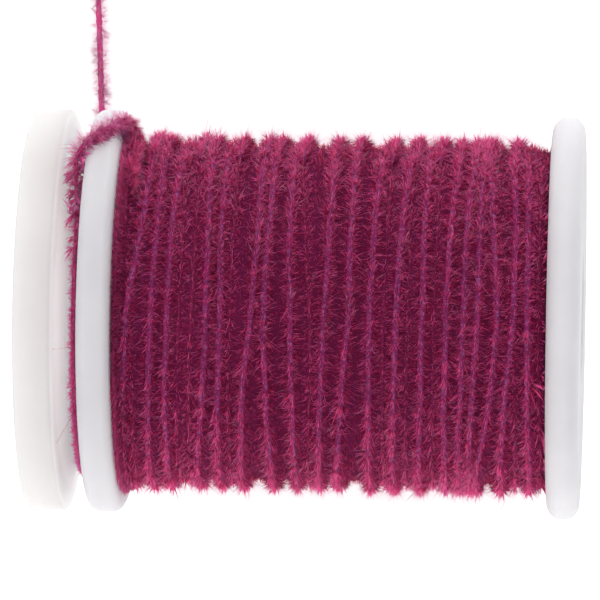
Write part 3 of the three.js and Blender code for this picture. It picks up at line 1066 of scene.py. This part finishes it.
# Hairs on a turn of each kind
combed = {top: 1700, under: 700}
raised = {top: 2900, under: 1200}
wrapped = {top: 850, under: 500}
nap_hairs = 34000
thirds = [range(0, 10), range(10, 20), range(20, len(turns))]
for share, picked in enumerate(thirds, 1):
    laid_down = [combed_pile(k, combed[layers[k]]) for k in picked]
    piece_of(f"winding_pile_{share}", *joined(laid_down), pile_sides)
for share, picked in enumerate(thirds, 1):
    standing = [raised_pile(k, raised[layers[k]]) for k in picked]
    piece_of(f"winding_raised_pile_{share}", *joined(standing), pile_tips)
# Nap, dark at its root and light at its tip: painted shade deep in the pile and painted light on its tips
nap_tips = pile_material("chenille_nap", (104, 19, 56), (236, 60, 120), (158, 44, 98))
piece_of("winding_nap", *nap(nap_hairs), nap_tips)
# The flared pile is a darker copy of the pile, dark at its root: painted shade by the inner disc's corner
flared_tips = pile_material("flared_tips", (108, 22, 56), (178, 54, 110), (148, 50, 96))
piece_of("winding_flared_pile", *flared_pile(10000), flared_tips)
lying = [wrapped_fuzz(k, wrapped[layers[k]]) for k in range(len(turns))]
# Fuzz along the cores, a lighter copy of the pile: painted light on the cores' margins
core_fuzz = pile_material("core_fuzz", (194, 42, 98), (210, 60, 122), (180, 62, 120))
piece_of("winding_core_fuzz", *joined(lying), core_fuzz)


# Stray fibres. A curled one and a few straight ones that have worked out of the pile, each a thin
# tube: its points are places along the axis, distances from it and degrees from the crown.
strays = [
    [(9.24, 9.3, 44), (9.42, 9.5, 46.4), (9.7, 9.55, 45.2), (9.54, 9.5, 41.8), (9.4, 9.45, 38.4)]
    + [(9.54, 9.45, 35.8), (9.86, 9.5, 37.2), (10.1, 9.55, 39.6), (10.04, 9.5, 41.4)]
    + [(9.74, 9.45, 42), (9.42, 9.4, 40.8)],
    [(8.96, 9.2, 72), (9.02, 9.7, 74), (9.16, 10.3, 76.5)],
    [(4.9, 9.3, 33.4), (5.3, 9.75, 33.2), (5.75, 9.5, 32.8)],
    [(24.6, 9.2, -79), (24.8, 9.7, -82), (24.6, 10.1, -84)],
    [(2.6, 8.8, -12.6), (2.3, 9.6, -12), (2.05, 10.3, -11.2)],
    [(2.7, 8.8, -39.5), (2.4, 9.5, -40.5), (2.1, 10.2, -41.8)],
]
stray_tubes = []
for band, places in enumerate(strays):
    x, r, a = np.array(places, float).T
    route = smooth_route(on_spool(x, r, a), 0.06 * mm)
    along = unit(np.gradient(route, axis=0))
    out = square_to(along, np.tile([0.3, 0.2, 1.0], (len(route), 1)))
    thin = np.full((len(route), 4), (0.014 if band == 0 else 0.008) * mm)
    stray_tubes.append(tube((route, along, out), thin, band, len(strays)))
stray_fibre, tree, shader = material_of("stray_fibre", Roughness=0.8, Specular_IOR_Level=0.2)
streak = noise(tree, add_node(tree, "TexCoord").outputs["Object"], 3000.0)
dyed_and_shaded(tree, shader, ((212, 66, 122), (224, 104, 152), (206, 92, 140)), streak)
piece_of("stray_fibres", *joined(stray_tubes), stray_fibre)


# Floor and light. A white table lit from its sides, a paler sky low down than overhead.
bpy.ops.mesh.primitive_circle_add(vertices=96, radius=0.5, fill_type="NGON", location=(0, 0, 0))
floor = bpy.context.object
floor.name = "floor"
floor_material, tree, shader = material_of("table", Roughness=0.9, Specular_IOR_Level=0.1)
dust = noise(tree, add_node(tree, "TexCoord").outputs["Object"], 40.0)
tree.links.new(mapped(tree, dust, 0.0, 1.0, 0.9, 0.94), shader.inputs["Base Color"])
shader.inputs["Emission Color"].default_value = (1, 1, 1, 1)
shader.inputs["Emission Strength"].default_value = 0.46
floor.data.materials.append(floor_material)

world = bpy.data.worlds.new("studio")
world.use_nodes = True
tree = world.node_tree
sky = tree.nodes["Background"]
sky.inputs["Color"].default_value = (1, 1, 1, 1)
way = add_node(tree, "TexCoord")
height = add_node(tree, "SeparateXYZ", links={0: way.outputs["Generated"]})
overhead = mapped(tree, height.outputs["Z"], 0.15, 0.95, 0.0, 0.92)
sideways = mapped(tree, height.outputs["X"], -1.0, 1.0, 1.45, 0.53)
uneven = worked_out(tree, "MULTIPLY", overhead, sideways)
# Past the table's edge the room shows as pale as the table, and lights nothing more
seen = add_node(tree, "LightPath").outputs["Is Camera Ray"]
pale_room = worked_out(tree, "MAXIMUM", uneven, seen)
tree.links.new(pale_room, sky.inputs["Strength"])
bpy.context.scene.world = world

softboxes = [
    ("softbox_front", (0.02, -0.32, 0.2), 0.75),
    ("softbox_back", (0.02, 0.32, 0.2), 0.78),
    ("softbox_left", (-0.35, 0, 0.12), 0.07),
]
for name, place, power in softboxes:
    place = Vector(place)
    bpy.ops.object.light_add(type="AREA", location=place)
    softbox = bpy.context.object
    softbox.name = name
    softbox.data.shape = "RECTANGLE"
    softbox.data.size = 0.3
    softbox.data.size_y = 0.2
    softbox.data.energy = power
    softbox.rotation_euler = (-place).to_track_quat("-Z", "Y").to_euler()

bpy.context.scene.view_settings.view_transform = "Standard"
